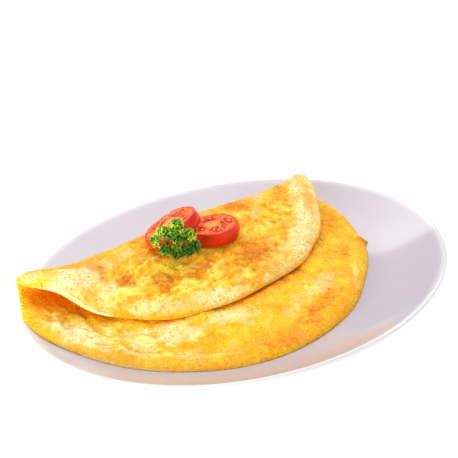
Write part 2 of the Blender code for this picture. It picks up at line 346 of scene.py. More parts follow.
def buildPlate():
    line, thin = plateProfile()
    count = plate["spokes"]
    turns = fullTurn(count)
    across, height = line[:, :1], line[:, 1:]
    rings = [across * np.cos(turns), across * np.sin(turns), np.repeat(height, count, axis=1)]
    rings = np.stack(rings, axis=-1).reshape(-1, 3)
    points = np.concatenate([rings, [[0.0, 0.0, line[0, 1]], [0.0, 0.0, line[-1, 1]]]])
    piece = meshPiece("dinnerPlate", points, closedFaces(0, len(line), count), glazedPorcelain())
    paintPoints(piece, "thinGlazeAndHighlight", np.concatenate([np.repeat(thin, count), [1.0, 0.0]]))
    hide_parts("plate")


buildPlate()
print("plate built")


# Omelette: one round of egg, folded over. A place on it is (along the fold, path over the fold):
# path is positive on the flap and negative on the layer that lies on the plate.

egg = {
    "foldAngle": math.radians(28.67),
    "foldMiddle": (-37.2 * mm, 47.7 * mm),
    "turnCentre": 6.0 * mm,
    "radius": 120.4 * mm,
    # waves of the outline: how many go round, height in mm, angle of the crest
    "outline": (
        (1, 25.1, -1.58), (2, 9.8, 2.92), (3, 1.2, 0.29), (4, 2.3, 0.33),
        (5, 1.8, -2.34), (6, 0.5, 1.98), (7, 0.5, 1.29), (13, 0.6, 2.00),
    ),
    # a torn nub on the outline: its angle, half width in radians and length in mm
    "nub": (-0.699, 0.020, 2.8),
    # gap under the lower layer, and the least gap to the glaze once the relief is on
    "clearance": 0.2 * mm,
    "leastGap": 0.15 * mm,
    # thickness in the middle and at the rim, and how far in from the rim it grows
    "thickMiddle": 11.5 * mm,
    "thickEdge": 6.6 * mm,
    "swell": 55.0 * mm,
    # the thickness is uneven by this share, in waves of this size
    "uneven": (0.16, 19.0 * mm),
    # the rim: how far in its rounding starts, how blunt it is, and how much of it settles
    "edgeRound": 8.5 * mm,
    "edgeFullness": 0.7,
    "rimSettle": 0.98,
    # hollow inside the fold: place along the fold and height there, in mm, and where it closes
    "gaps": ((-113.0, 6.8), (-68.0, 1.8), (-25.0, 4.6), (20.0, 4.7), (62.0, 2.4), (113.0, 9.2)),
    "gapStart": 22.0 * mm,
    "gapReach": 66.0 * mm,
    # gap between the layers, and height and size of the flap's slow waves
    "restGap": 0.5 * mm,
    "flapWaves": (0.9 * mm, 26.0 * mm),
    # the flap's lip at the left mouth, in mm: how high it lifts, its middle, and its spread
    "mouthLift": 7.0,
    "mouthMiddle": (-86.0, 24.0),
    "mouthSpread": (26.0, 17.0),
    # past tipStart to the left the egg is drawn in, so that it stays over the plate
    "tipStart": 131.0 * mm,
    "tipRoom": 3.6 * mm,
    # relief in mm, as lumps, folds, curds and grain: their sizes, their heights on the cooked face and
    # on the soft face, and what the soft face has on top where it is wet
    "reliefSizes": (13.0, 8.0, 4.0, 2.6),
    "cookedRelief": (1.1, 1.15, 1.0, 0.5),
    "softRelief": (0.9, 0.45, 0.3, 0.2),
    "wetRelief": (0.0, 0.9, 0.9, 0.5),
    # how far and over what size the pattern is pulled about, and the groove's depth in mm
    "warp": (4.0 * mm, 17.0 * mm),
    "grooveDepth": 1.3,
    # the relief fades to this share in the fold and at the rim, over these widths
    "leastRelief": 0.3,
    "rimCalm": 14.0 * mm,
    "foldCalm": 52.0 * mm,
    # middle and half widths in mm of the place under the garnish, and how flat the relief is pressed there
    "pressed": (-21.0, 15.0, 32.0, 22.0),
    "pressedFlat": 0.8,
    "net": (105, 420),
    "quickNet": (60, 240),
    "yolk": "#FFC622",
    "yolkDeep": "#FFAB12",
    # painted highlight, laid on the crests of the relief
    "yolkPaintedHighlight": "#FFE064",
    "curd": "#FFEEB0",
    "brown": "#DE8410",
    "brownDeep": "#BC5A0A",
    # deep orange for painted shade and glow, and a few orange patches
    "deep": "#FF9308",
    # painted shade, laid in the hollows of the relief
    "creasePaintedShade": "#F8A01C",
    "pore": "#F4AC3C",
    # pale specks of curd, partly painted glints
    "paleSpeckAndGlint": "#FFF2B4",
    "speckDark": "#E8942C",
    # spots on the sheet: along, path, half length, half width (mm), turn in degrees, strength.
    # Browned by the pan:
    "brownOuter": (
        (23, 78, 18, 11, -17, 0.95), (19, 65, 18, 6, 15, 0.75), (-12, 72, 13, 5, -27, 0.85),
        (-40, 69, 10, 7, 64, 0.75), (-56, 48, 9, 5, 71, 0.95), (-65, 28, 12, 5, -88, 0.7),
        (46, 18, 14, 8, -52, 0.75), (77, 21, 18, 4, -47, 0.6), (55, 59, 18, 4, -59, 0.6),
        (-26, 11, 8, 6, -43, 0.55), (-1, 89, 9, 4, 18, 0.6), (-27, 73, 7, 4, -6, 0.5),
        (0, -40, 60, 40, 0, 0.55), (-30, -100, 50, 30, 0, 0.45),
    ),
    "brownInner": (
        (27, -138, 25, 6, 28, 0.8), (-11, -151, 17, 7, -3, 0.65), (104, -48, 20, 7, 75, 0.4),
        (81, -90, 19, 4, 55, 0.55), (7, -104, 19, 4, 8, 0.7), (100, -85, 5, 3, 0, 0.8),
        (34, -97, 18, 4, 30, 0.75),
        (62, -80, 18, 3, 41, 0.75), (90, -52, 22, 2, 50, 0.5), (-24, -99, 15, 4, -22, 0.5),
        (-92, -25, 19, 8, -69, 0.6),
    ),
    # pale and spongy
    "paleOuter": (
        (-81, 30, 26, 12, -15, 1.0), (-106, 13, 13, 9, 0, 0.6), (-69, 48, 10, 9, 70, 0.8),
        (-52, 83, 25, 6, 44, 0.7),
        (-17, 103, 18, 8, 17, 0.85), (19, 104, 19, 6, -24, 0.85), (50, 83, 21, 5, -42, 0.9),
        (77, 54, 31, 6, -52, 1.0), (92, 24, 20, 5, -55, 0.9), (92, 11, 11, 6, 0, 0.4),
        (65, 13, 13, 7, -22, 0.5), (50, 35, 13, 8, -51, 0.4), (-44, 23, 11, 9, -59, 0.5),
    ),
    "paleInner": (
        (-56, -101, 21, 10, -44, 0.8), (-22, -112, 20, 8, -30, 0.75), (19, -127, 20, 10, 24, 0.45),
        (42, -121, 14, 9, 49, 0.6), (-101, -64, 18, 10, -71, 0.7), (69, -115, 23, 2, 53, 0.6),
        (-1, -155, 5, 3, 73, 0.7), (-16, -128, 8, 5, -42, 0.45), (-75, -84, 11, 8, 80, 0.35),
    ),
    # the flap's pale edge: how far in it goes, its least and added share, and where along it grows
    "paleReach": 26.0 * mm,
    "paleShare": (0.36, 0.56),
    "paleGrows": (10.0 * mm, 60.0 * mm),
    # deep orange, mostly painted shade and glow: inside the fold and at its open end, in the crevice under
    # the flap's edge, in the groove and along the front rim
    "deepOuter": (
        (-111, 29, 9, 8, 10, 0.8), (-95, 40, 12, 3, 52, 0.6), (-85, 56, 14, 4, 70, 0.7),
        (-57, 92, 25, 3, 47, 0.6), (38, 70, 18, 7, -15, 0.35), (-36, 46, 14, 10, 57, 0.35),
        (93, 37, 28, 4, -56, 0.8), (101, 22, 12, 5, -60, 0.6), (-53, 98, 34, 3, 47, 0.8),
        (23, 110, 29, 3, -23, 0.7),
    ),
    # a shallow groove inside the flap's right edge
    "groove": ((93, 37, 26, 3, -56, 0.6),),
    "deepInner": (
        (-92, -24, 22, 12, -69, 1.0), (-110, -24, 26, 5, 72, 0.9), (-86, -45, 18, 6, -59, 0.7),
        (-59, -80, 33, 3, -49, 0.7), (-48, -136, 16, 8, -52, 0.6), (9, -106, 22, 6, 9, 0.7),
        (41, -96, 23, 5, 34, 0.6), (51, -93, 13, 7, 32, 0.4), (0, 0, 130, 30, 0, 0.9),
        (0, -150, 36, 8, 0, 0.6), (50, -136, 26, 7, 30, 0.55), (-45, -138, 26, 6, -30, 0.4),
    ),
    # wet with butter
    "wetOuter": ((-85, 50, 22, 6, 65, 0.7), (-108, 30, 14, 10, 10, 0.6)),
    "wetInner": (
        (-99, -64, 27, 14, -78, 1.0), (-93, -94, 34, 10, -64, 0.9), (-74, -100, 14, 11, 87, 0.6),
        (-57, -135, 36, 7, -47, 0.5),
    ),
    # how noise frays the spots: sizes in mm, shares and seeds
    "fray": ((9.0, 0.60, 51.0), (4.0, 0.40, 52.0), (19.0, 0.35, 53.0)),
    # streaks of browned butter on the cooked and the soft face, and the width of the painted shade along the
    # rim
    "streaks": (0.15, 0.40),
    "rimPaintedShade": 1.8 * mm,
}
eggMarks = ("browned", "pale", "deep", "wet", "relief")
# level unit steps along the fold and away from it, to the front
foldAlong = np.array([math.cos(egg["foldAngle"]), math.sin(egg["foldAngle"])])
foldAcross = np.array([math.sin(egg["foldAngle"]), -math.cos(egg["foldAngle"])])


def outlineReach(angle):
    reach = egg["radius"]
    for count, height, crest in egg["outline"]:
        reach = reach + height * mm * np.cos(count * angle - crest)
    middle, wide, length = egg["nub"]
    return reach + length * mm * np.exp(-(((angle - middle) / wide) ** 2))


def sheetInset(along, path):
    return np.maximum(outlineReach(np.arctan2(path, along)) - np.hypot(along, path), 0.0)


def eggThickness(along, path):
    grown = smoothStep(sheetInset(along, path) / egg["swell"])
    return egg["thickEdge"] + (egg["thickMiddle"] - egg["thickEdge"]) * grown


def halfThickness(along, path):
    share, size = egg["uneven"]
    return 0.5 * eggThickness(along, path) * (1.0 + share * bumps(along, path, size, 8.4))


def turnGap(along):
    gap = egg["gaps"][0][1]
    for (start, low), (end, high) in zip(egg["gaps"][:-1], egg["gaps"][1:]):
        gap = gap + (high - low) * smoothStep((along / mm - start) / (end - start))
    return gap * mm


def turnRadius(along):
    return 0.5 * (eggThickness(along, 0.0 * along) + turnGap(along))


def planOf(along, across):
    x = egg["foldMiddle"][0] + along * foldAlong[0] + across * foldAcross[0]
    y = egg["foldMiddle"][1] + along * foldAlong[1] + across * foldAcross[1]
    return x, y


def pathOver(along, across):
    return across - egg["turnCentre"] + 0.5 * math.pi * turnRadius(along)


def lowerMiddle(along, across):
    x, y = planOf(along, across)
    thickness = eggThickness(along, -pathOver(along, across))
    return plateTop(np.hypot(x, y)) + egg["clearance"] + 0.5 * thickness, thickness


def upperMiddle(along, across):
    below, thicknessBelow = lowerMiddle(along, across)
    thickness = eggThickness(along, pathOver(along, across))
    share = (across - egg["turnCentre"] - egg["gapStart"]) / egg["gapReach"]
    hollow = turnGap(along) * (1.0 - smoothStep(share))
    height, size = egg["flapWaves"]
    waves = height * (1.0 + bumps(*planOf(along, across), size, 3.1))
    farAlong = (along / mm - egg["mouthMiddle"][0]) / egg["mouthSpread"][0]
    farAcross = (across / mm - egg["mouthMiddle"][1]) / egg["mouthSpread"][1]
    lip = egg["mouthLift"] * mm * np.exp(-(farAlong ** 2) - farAcross ** 2)
    return below + 0.5 * thicknessBelow + egg["restGap"] + hollow + 0.5 * thickness + waves + lip


def sheetMiddle(along, path):
    radius = turnRadius(along)
    quarter = 0.5 * math.pi * radius
    turn = np.clip(path / quarter, -1.0, 1.0) * 0.5 * math.pi
    across = egg["turnCentre"] - radius * np.cos(turn) + np.maximum(np.abs(path) - quarter, 0.0)
    low, _ = lowerMiddle(along, across)
    high = upperMiddle(along, across)
    x, y = planOf(along, across)
    return np.stack([x, y, low + (high - low) * 0.5 * (1.0 + np.sin(turn))], axis=-1)


def crinkle(along, path, cooked):
    # height of the egg's own relief in mm: lumps, folds, curds and grain
    lumpSize, foldSize, curdSize, grainSize = (size * mm for size in egg["reliefSizes"])
    warp, warpSize = egg["warp"]
    warpA = along + warp * bumps(along, path, warpSize, 5.0)
    warpB = path + warp * bumps(along, path, warpSize, 6.0)
    # the folds run with the edge on the cooked face, and away from the crease on the soft one
    closeA, closeB = (1.0, 1.4) if cooked else (1.5, 0.5)
    shapes = (
        bumps(along, path, lumpSize, 11.0 + cooked),
        1.0 - 2.4 * np.abs(bumps(warpA * closeA, warpB * closeB, foldSize, 21.0 + cooked)),
        bumps(warpA, warpB, curdSize, 31.0 + cooked),
        bumps(along, path, grainSize, 41.0 + cooked),
    )
    if cooked:
        lift = -egg["grooveDepth"] * spots(along, path, egg["groove"])
        heights = egg["cookedRelief"]
    else:
        lift = np.zeros_like(along)
        wet = spots(along, path, egg["wetInner"])
        heights = [height + more * wet for height, more in zip(egg["softRelief"], egg["wetRelief"])]
    for height, shape in zip(heights, shapes):
        lift = lift + height * shape
    return lift


def spots(along, path, ovals):
    # soft ovals at given places on the sheet, frayed by noise
    fray = sum(share * bumps(along, path, size * mm, seed) for size, share, seed in egg["fray"])
    covered = np.zeros_like(along)
    for middleAlong, middlePath, halfLong, halfWide, turned, strength in ovals:
        c, s = math.cos(math.radians(turned)), math.sin(math.radians(turned))
        u = ((along / mm - middleAlong) * c + (path / mm - middlePath) * s) / halfLong
        v = ((path / mm - middlePath) * c - (along / mm - middleAlong) * s) / halfWide
        inside = smoothStep(1.08 - 0.62 * np.sqrt(u * u + v * v) + 0.7 * fray)
        covered = np.maximum(covered, strength * inside)
    return covered


def paleEdge(along, path):
    # the flap pales towards its edge on its cooked face, most at the right
    near = smoothStep((egg["paleReach"] - sheetInset(along, path)) / (0.6 * egg["paleReach"]))
    near = near * (0.75 + 0.6 * bumps(along, path, 11.0 * mm, 61.0)) * (path > 0.0)
    least, added = egg["paleShare"]
    start, end = egg["paleGrows"]
    return near * (least + added * smoothStep((along - start) / (end - start)))


def friedEgg():
    # Beaten egg set in butter: a yellow that glows a little below the skin, browned where it met the pan
    # its colour also carries painted light: highlights and shade on the relief, and deep orange shade and
    # glow in the fold and at the rims
    settings = {
        "IOR": 1.40,
        "Specular IOR Level": 0.16,
        "Subsurface Weight": 0.45,
        "Subsurface Radius": (1.0, 0.45, 0.12),
        "Subsurface Scale": 0.012,
        "Coat Roughness": 0.07,
    }
    skin, tree, shader = newMaterial("butter-fried egg", settings)
    place = addNode(tree, "TexCoord", output="Object")
    marks = {name: addNode(tree, "Attribute", {"attribute_name": name}, "Fac") for name in eggMarks}
    # mottling 14 mm across, wrinkled curd 4 mm, and grain and specks of about 1.5 mm, the finest that show;
    # the pale specks are partly painted glints
    wrinkled = {"Vector": place, "Scale": 1 / 0.004, "Detail": 3.0, "Roughness": 0.55, "Distortion": 0.7}
    mottle = addNode(tree, "TexNoise", {"Vector": place, "Scale": 1 / 0.014, "Detail": 3.0})
    curd = addNode(tree, "TexNoise", wrinkled)
    grain = addNode(tree, "TexNoise", {"Vector": place, "Scale": 1 / 0.0015, "Detail": 2.0})
    moved = addNode(tree, "VectorMath", {0: place, 1: (0.3, 0.1, 0.2)})
    specks = addNode(tree, "TexNoise", {"Vector": moved, "Scale": 1 / 0.0019, "Detail": 2.0})
    # steam bubbles leave pores about 0.7 mm wide and 2 mm apart, only where the curd is pale and spongy
    cells = addNode(tree, "TexVoronoi", {"Vector": place, "Scale": 1 / 0.0021})
    pores = addNode(tree, "MapRange", {"Value": cells, "From Min": 0.46, "From Max": 0.20})
    spongy = {"Value": marks["pale"], "From Min": 0.30, "From Max": 0.85, "To Max": 0.8}
    spongy = addNode(tree, "MapRange", spongy)
    holes = addNode(tree, "Math", {"operation": "MULTIPLY", 0: pores, 1: spongy})
    # what steers each colour: a pattern, how much of it, and what it is added to. The last two are the
    # depth of the bumps in metres, which is less in the deep orange places.
    steer = {}
    for name, pattern, share, mark in (
        # crest: the relief's height and the curd, which set where the painted highlight and painted shade go
        ("crest", curd, 1.5, marks["relief"]),
        ("pale", curd, 0.7, marks["pale"]),
        ("deep", curd, 0.5, marks["deep"]),
        ("browned", curd, 1.6, marks["browned"]),
        ("wet", curd, 0.8, marks["wet"]),
        ("charred", grain, 0.7, "browned"),
        ("film", grain, 0.9, "wet"),
        ("rough", grain, 0.50, curd),
        ("height", holes, -0.12, "rough"),
        ("calm", marks["deep"], -0.0028, 0.0034),
        ("curdHeight", marks["wet"], 0.0002, "calm"),
    ):
        settings = {"operation": "MULTIPLY_ADD", 0: pattern, 1: share, 2: steer.get(mark, mark)}
        steer[name] = addNode(tree, "Math", settings)
    # colours laid one over another: what steers it, from none to full, and how much at most
    colour = egg["yolk"]
    for name, value, low, high, most in (
        ("yolkDeep", mottle, 0.38, 0.62, 1.0),
        # painted highlight on the crests of the relief, painted shade in its hollows
        ("yolkPaintedHighlight", steer["crest"], 1.25, 2.10, 1.0),
        ("creasePaintedShade", steer["crest"], 0.90, -0.10, 0.8),
        ("curd", steer["pale"], 0.58, 1.25, 0.95),
        # painted highlight and painted shade again, on the grain and curd that the bumps follow
        ("yolkPaintedHighlight", steer["rough"], 0.82, 1.00, 0.5),
        ("creasePaintedShade", steer["rough"], 0.68, 0.50, 0.45),
        # painted shade and glow: deep orange in the fold, the crevice, the groove and at the rims
        ("deep", steer["deep"], 0.45, 1.15, 0.9),
        ("brown", steer["browned"], 0.98, 1.60, 0.9),
        ("brownDeep", steer["charred"], 1.90, 2.50, 0.8),
        ("pore", holes, 0.0, 1.0, 1.0),
        ("speckDark", specks, 0.62, 0.80, 0.4),
        # pale specks: part curd, part painted glints
        ("paleSpeckAndGlint", specks, 0.38, 0.26, 0.4),
    ):
        share = addNode(tree, "MapRange", {"Value": value, "From Min": low, "From Max": high, "To Max": most})
        settings = {"data_type": "RGBA", 0: share, 6: colour, 7: egg[name]}
        colour = addNode(tree, "Mix", settings, 2)
    # butter leaves the hollows of the curd wetter than its crests, and films some places
    crests = {"Value": curd, "From Min": 0.35, "From Max": 0.65, "To Min": 0.30, "To Max": 0.50}
    rough = addNode(tree, "MapRange", crests)
    film = addNode(tree, "MapRange", {"Value": steer["film"], "From Min": 0.98, "From Max": 1.4})
    lift = addNode(tree, "Bump", {"Height": steer["height"], "Distance": steer["curdHeight"]})
    feedShader(tree, shader, {"Base Color": colour, "Roughness": rough, "Coat Weight": film, "Normal": lift})
    return skin


def sheetNet(rings, spokes):
    # flat places of a net that is closest in the fold and at the rim
    steps = np.sin(0.5 * math.pi * np.linspace(0.0, 1.0, rings + 1)[1:] ** 1.5)
    even = fullTurn(spokes)
    angles = even - math.pi - 0.2 * np.sin(2.0 * even)
    reach = steps[:, None] * outlineReach(angles)
    return reach * np.cos(angles), reach * np.sin(angles)


def reliefShare(middle, inset, path):
    # how much of the relief stays: less at the rim, in the fold and under the garnish
    least = egg["leastRelief"]
    atRim = least + (1.0 - least) * smoothStep(inset / egg["rimCalm"])
    inFold = least + (1.0 - least) * smoothStep(np.abs(path) / egg["foldCalm"])
    x, y, wideX, wideY = egg["pressed"]
    farX, farY = (middle[..., 0] / mm - x) / wideX, (middle[..., 1] / mm - y) / wideY
    return atRim * inFold * (1.0 - egg["pressedFlat"] * np.exp(-(farX ** 2) - farY ** 2))


def sheetFaces(along, path):
    # points and relief of the cooked outer face and of the soft inner face
    middle = sheetMiddle(along, path)
    step = 0.4 * mm
    run = sheetMiddle(along + step, path) - sheetMiddle(along - step, path)
    rise = sheetMiddle(along, path + step) - sheetMiddle(along, path - step)
    normal = np.cross(rise, run)
    normal /= np.linalg.norm(normal, axis=-1, keepdims=True)
    inset = sheetInset(along, path)
    fromRim = np.clip(inset / egg["edgeRound"], 0.0, 1.0)
    rounding = np.maximum(1.0 - (1.0 - fromRim) ** 2, 0.0) ** egg["edgeFullness"]
    half = halfThickness(along, path)
    # both layers settle at the rim, so the flap's edge and the lower edge end near what they lie on
    layer = np.clip(path / (0.5 * math.pi * turnRadius(along)), -1.0, 1.0)
    settle = egg["rimSettle"] * layer * half * (1.0 - rounding)
    stays = reliefShare(middle, inset, path)
    made = []
    for cooked, way in ((1, 1.0), (0, -1.0)):
        lift = crinkle(along, path, cooked) * stays
        out = way * rounding * (half + mm * lift) - settle
        made.append((middle + normal * out[..., None], lift))
    return made


def markEgg(along, path, side, lift):
    # what steers the colours at each place: how browned, pale, wet and raised it is, and how much deep orange
    # is painted there for shade and glow
    face = ("Outer", "Inner")[side]
    kinds = ("brown", "pale", "deep", "wet")
    brown, pale, deep, wet = (spots(along, path, egg[kind + face]) for kind in kinds)
    if face == "Outer":
        pale = np.maximum(pale, paleEdge(along, path))
    # browned butter runs in streaks away from the fold
    streaks = egg["streaks"][side] * bumps(along * 2.0, path * 0.5, 9.0 * mm, 71.0)
    # painted shade: the very rim is painted a deeper yellow-orange and less pale
    rim = 1.0 - smoothStep(sheetInset(along, path) / egg["rimPaintedShade"])
    return {
        "browned": brown + streaks,
        "pale": pale * (1.0 - 0.6 * brown) * (1.0 - 0.5 * rim),
        "deep": np.maximum(deep, 0.5 * rim),
        "wet": wet,
        "relief": lift,
    }


def joinSheet(rings, spokes):
    # faces of both sides of the sheet, closed by one ring of points along the rim
    perSide = 1 + (rings - 1) * spokes
    rim = 2 * perSide
    faces = []
    for first, flip in ((0, True), (perSide, False)):
        start = first + 1
        last = start + (rings - 2) * spokes
        side = fanFaces(first, start, spokes) + ringFaces(start, rings - 1, spokes, flip=True)
        for s in range(spokes):
            after = (s + 1) % spokes
            side.append((last + s, rim + s, rim + after, last + after))
        faces += [f[::-1] for f in side] if flip else side
    return faces


def keepOnPlate(points):
    # draws the left tip in so that it stays over the plate, and keeps all above the glaze
    past = np.maximum(-egg["tipStart"] - points[:, 0], 0.0)
    points[:, 0] += past - egg["tipRoom"] * np.tanh(past / egg["tipRoom"])
    radius = np.hypot(points[:, 0], points[:, 1])
    points[:, 2] = np.maximum(points[:, 2], plateTop(radius) + egg["leastGap"])


def buildOmelette():
    rings, spokes = egg["net"]
    along, path = sheetNet(rings, spokes)
    places = ((np.zeros(1), np.zeros(1)), (along[:-1], path[:-1]))
    made = [sheetFaces(*place) for place in places]
    points, marks = [], {name: [] for name in eggMarks}
    for side in (0, 1):
        for place, faces in zip(places, made):
            found, lift = faces[side]
            points.append(found.reshape(-1, 3))
            for name, values in markEgg(*place, side, lift).items():
                marks[name].append(values.ravel())
    (outer, _), (inner, _) = sheetFaces(along[-1], path[-1])
    points.append(0.5 * (outer + inner))
    points = np.concatenate(points)
    keepOnPlate(points)
    piece = meshPiece("foldedEgg", points, joinSheet(rings, spokes), friedEgg())
    for name, values in marks.items():
        paintPoints(piece, name, np.concatenate(values + [np.zeros(spokes)]))
    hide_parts("omelette")


buildOmelette()
print("omelette built")


# What lies on the flap

def flapTop(x, y):
    # height of the flap's upper face before its fine relief
    fromX, fromY = x - egg["foldMiddle"][0], y - egg["foldMiddle"][1]
    along = fromX * foldAlong[0] + fromY * foldAlong[1]
    across = fromX * foldAcross[0] + fromY * foldAcross[1]
    return upperMiddle(along, across) + halfThickness(along, pathOver(along, across))


# Tomato: two thick slices of one small tomato, lying on the flap

tomato = {
    "thickness": 8.2 * mm,
    "net": (44, 150),
    "quickNet": (24, 80),
    # name, middle and radius in mm, right side raised, back raised and pocket angles in degrees
    "slices": (
        ("Level", (-8.1, 16.5, 39.8), 17.5, 0.0, -2.0, (8, 105, 200, 290)),
        ("Leaning", (-33.2, 16.8, 45.9), 19.2, 20.5, -4.5, (50, 140, 235, 325)),
    ),
    # the underside from the middle out: share of the radius, and height in mm
    "underside": ((0.30, 0.0), (0.60, 0.0), (0.84, 0.0), (0.90, 0.05)),
    # rings over the skin, and how far it bows out as a share of the radius
    "skinRings": 14,
    "skinBow": 0.075,
    # how far it is from round, in three and in five lobes
    "lobes": (0.022, 0.014),
    # relief in mm, as size and height: flesh, fine flesh, gel and skin
    "relief": ((2.6, 0.16), (1.3, 0.08), (3.2, 0.30), (5.0, 0.10)),
    # pockets: middle and half length as shares of the radius, half width in degrees, depths in mm
    "pocketReach": 0.55,
    "pocketLong": 0.24,
    "pocketWide": 34.0,
    "pocketDepth": 0.75,
    "gelDepth": 0.45,
    # seeds: how many to a pocket, half length, width and thickness in mm, and degrees apart
    "seedsEach": 5,
    "seedSize": (1.05, 0.66, 0.36),
    "seedApart": 11.0,
    "seedSunk": 0.12 * mm,
    # gap to the flap
    "leastGap": 0.2 * mm,
    "skin": "#B81004",
    "skinWarm": "#E23A08",
    "wall": "#EA420E",
    "wallPale": "#F88A2E",
    "rim": "#E23A18",
    "core": "#FAA048",
    "gel": "#C82204",
    "seed": "#F2A850",
    "seedDark": "#E87830",
}


def pocketShare(share, angle, pockets):
    # 1 inside a seed pocket, 0 in the flesh between them
    found = np.zeros_like(share * angle)
    for middle in pockets:
        turn = np.degrees((angle - math.radians(middle) + math.pi) % (2.0 * math.pi) - math.pi)
        aside = turn * (0.45 + share) / tomato["pocketWide"]
        out = (share - tomato["pocketReach"]) / tomato["pocketLong"]
        found = np.maximum(found, smoothStep((1.12 - aside ** 2 - out ** 2) / 0.40))
    return found


def sliceSection(half, rings):
    # shares of the radius, and heights: the underside, the skin, and the cut face from rim to middle
    section = [(share, -half + height * mm) for share, height in tomato["underside"]]
    for t in np.linspace(0.0, 1.0, tomato["skinRings"]):
        # the skin bows out, and is pinched by the knife at the upper rim
        bow = math.sin(math.pi * (0.12 + 0.76 * t))
        section.append((1.0 - tomato["skinBow"] * (1.0 - bow), -half + (0.02 + 0.96 * t) * 2.0 * half))
    section += [(share, half) for share in np.linspace(0.955, 0.02, rings)]
    return np.array(section)


def slicePoints(half, reach, rings, count, pockets, seed):
    # points of a level slice round its own middle, and where its gel, its core and its rim are
    section = sliceSection(half, rings)
    share, height = section[:, :1], section[:, 1:]
    angle = fullTurn(count) + 0.0 * share
    threes, fives = tomato["lobes"]
    outline = 1.0 + threes * np.cos(3.0 * angle + seed) + fives * np.cos(5.0 * angle)
    x, y = reach * share * outline * np.cos(angle), reach * share * outline * np.sin(angle)
    face = np.zeros_like(x)
    face[-rings:] = 1.0
    pocket = pocketShare(share, angle, pockets) * face
    (coarse, coarseHigh), (fine, fineHigh), (gel, gelHigh), (skin, skinHigh) = tomato["relief"]
    flesh = coarseHigh * bumps(x, y, coarse * mm, seed) + fineHigh * bumps(x, y, fine * mm, seed + 1.0)
    sunk = tomato["pocketDepth"] - tomato["gelDepth"] - gelHigh * bumps(x, y, gel * mm, seed + 2.0)
    waxy = bumps(angle * 6.0 * mm, height + 0.0 * angle, skin * mm, seed + 4.0)
    z = height + mm * (face * (flesh - pocket * sunk) + skinHigh * (1.0 - face) * waxy)
    points = np.stack([x, y, z], axis=-1).reshape(-1, 3)
    points = np.concatenate([points, [[0.0, 0.0, -half], [0.0, 0.0, half - 0.05 * mm]]])
    # each mark's values, and its value at the two middles
    marks = {
        "gel": (pocket, 0.0),
        "core": (smoothStep((0.42 - share + 0.0 * angle) / 0.30) * face, 1.0),
        "rim": (smoothStep((share + 0.0 * angle - 0.80) / 0.12) * face, 0.0),
    }
    return points, marks


def tomatoSeeds(material, name, middle, radius, tilt, pockets):
    # flat drops that point at the middle, half sunk in the gel of their pocket
    rolls = np.random.default_rng(int(radius * 10))
    rows, sides = 7, 14
    middleSeed = 0.5 * (tomato["seedsEach"] - 1)
    height = 0.5 * tomato["thickness"] - tomato["seedSunk"]
    latitude = np.linspace(-0.5 * math.pi, 0.5 * math.pi, rows + 2)[1:-1, None]
    longitude = fullTurn(sides)
    points, faces = [], []
    for pocketAngle in pockets:
        for k in range(tomato["seedsEach"]):
            apart = (k - middleSeed) * tomato["seedApart"]
            angle = math.radians(pocketAngle + apart + rolls.uniform(-4, 4))
            out = radius * mm * (tomato["pocketReach"] + rolls.uniform(-0.12, 0.13))
            long, wide, thick = (rolls.uniform(0.9, 1.1) * size * mm for size in tomato["seedSize"])
            turn = angle + rolls.uniform(-0.5, 0.5)
            drop = [
                long * np.sin(latitude) + 0.0 * longitude,
                wide * np.cos(latitude) * np.cos(longitude) * (1.0 + 0.35 * np.sin(latitude)),
                thick * np.cos(latitude) * np.sin(longitude),
            ]
            drop = np.stack(drop, axis=-1).reshape(-1, 3)
            drop = np.concatenate([drop, [[-long, 0.0, 0.0], [long, 0.0, 0.0]]])
            c, s = math.cos(turn), math.sin(turn)
            turned = np.array([[c, -s, 0.0], [s, c, 0.0], [0.0, 0.0, 1.0]])
            start = len(points) * len(drop)
            points.append(drop @ turned.T + [out * math.cos(angle), out * math.sin(angle), height])
            faces += closedFaces(start, rows, sides, flip=True)
    points = np.concatenate(points) @ tilt.T + np.array(middle) * mm
    seeds = meshPiece("tomatoSeeds" + name, points, faces, material)


def tomatoSlice(materials, name, middle, radius, rightRaised, backRaised, pockets):
    rings, count = tomato["net"]
    half = 0.5 * tomato["thickness"]
    points, marks = slicePoints(half, radius * mm, rings, count, pockets, 3.0 * len(name))
    tilt = Matrix.Rotation(math.radians(-rightRaised), 3, "Y")
    tilt = np.array(Matrix.Rotation(math.radians(backRaised), 3, "X") @ tilt)
    points = points @ tilt.T + np.array(middle) * mm
    flap = flapTop(points[:, 0], points[:, 1])
    points[:, 2] = np.maximum(points[:, 2], flap + tomato["leastGap"])
    rows = len(points) // count
    faces = closedFaces(0, rows, count)
    piece = meshPiece("tomatoSlice" + name, points, faces, materials["flesh"])
    piece.data.materials.append(materials["skin"])
    # skin lies between the underside and the cut face
    skinFaces = np.zeros(len(faces), np.int32)
    skinFaces[(len(tomato["underside"]) - 1) * count:(rows - rings - 1) * count] = 1
    piece.data.polygons.foreach_set("material_index", skinFaces)
    for mark, (values, atMiddle) in marks.items():
        paintPoints(piece, mark, np.append(values.ravel(), [atMiddle, atMiddle]))
    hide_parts("tomato_slice_" + name.lower())
    tomatoSeeds(materials["seed"], name, middle, radius, tilt, pockets)


def twoToned(name, settings, size, detail, tone, otherTone):
    # a material whose colour drifts between two tones over this size
    made, tree, shader = newMaterial(name, settings)
    place = addNode(tree, "TexCoord", output="Object")
    drift = addNode(tree, "TexNoise", {"Vector": place, "Scale": 1 / size, "Detail": detail})
    colour = addNode(tree, "Mix", {"data_type": "RGBA", 0: drift, 6: tone, 7: otherTone}, 2)
    feedShader(tree, shader, {"Base Color": colour})
    return made


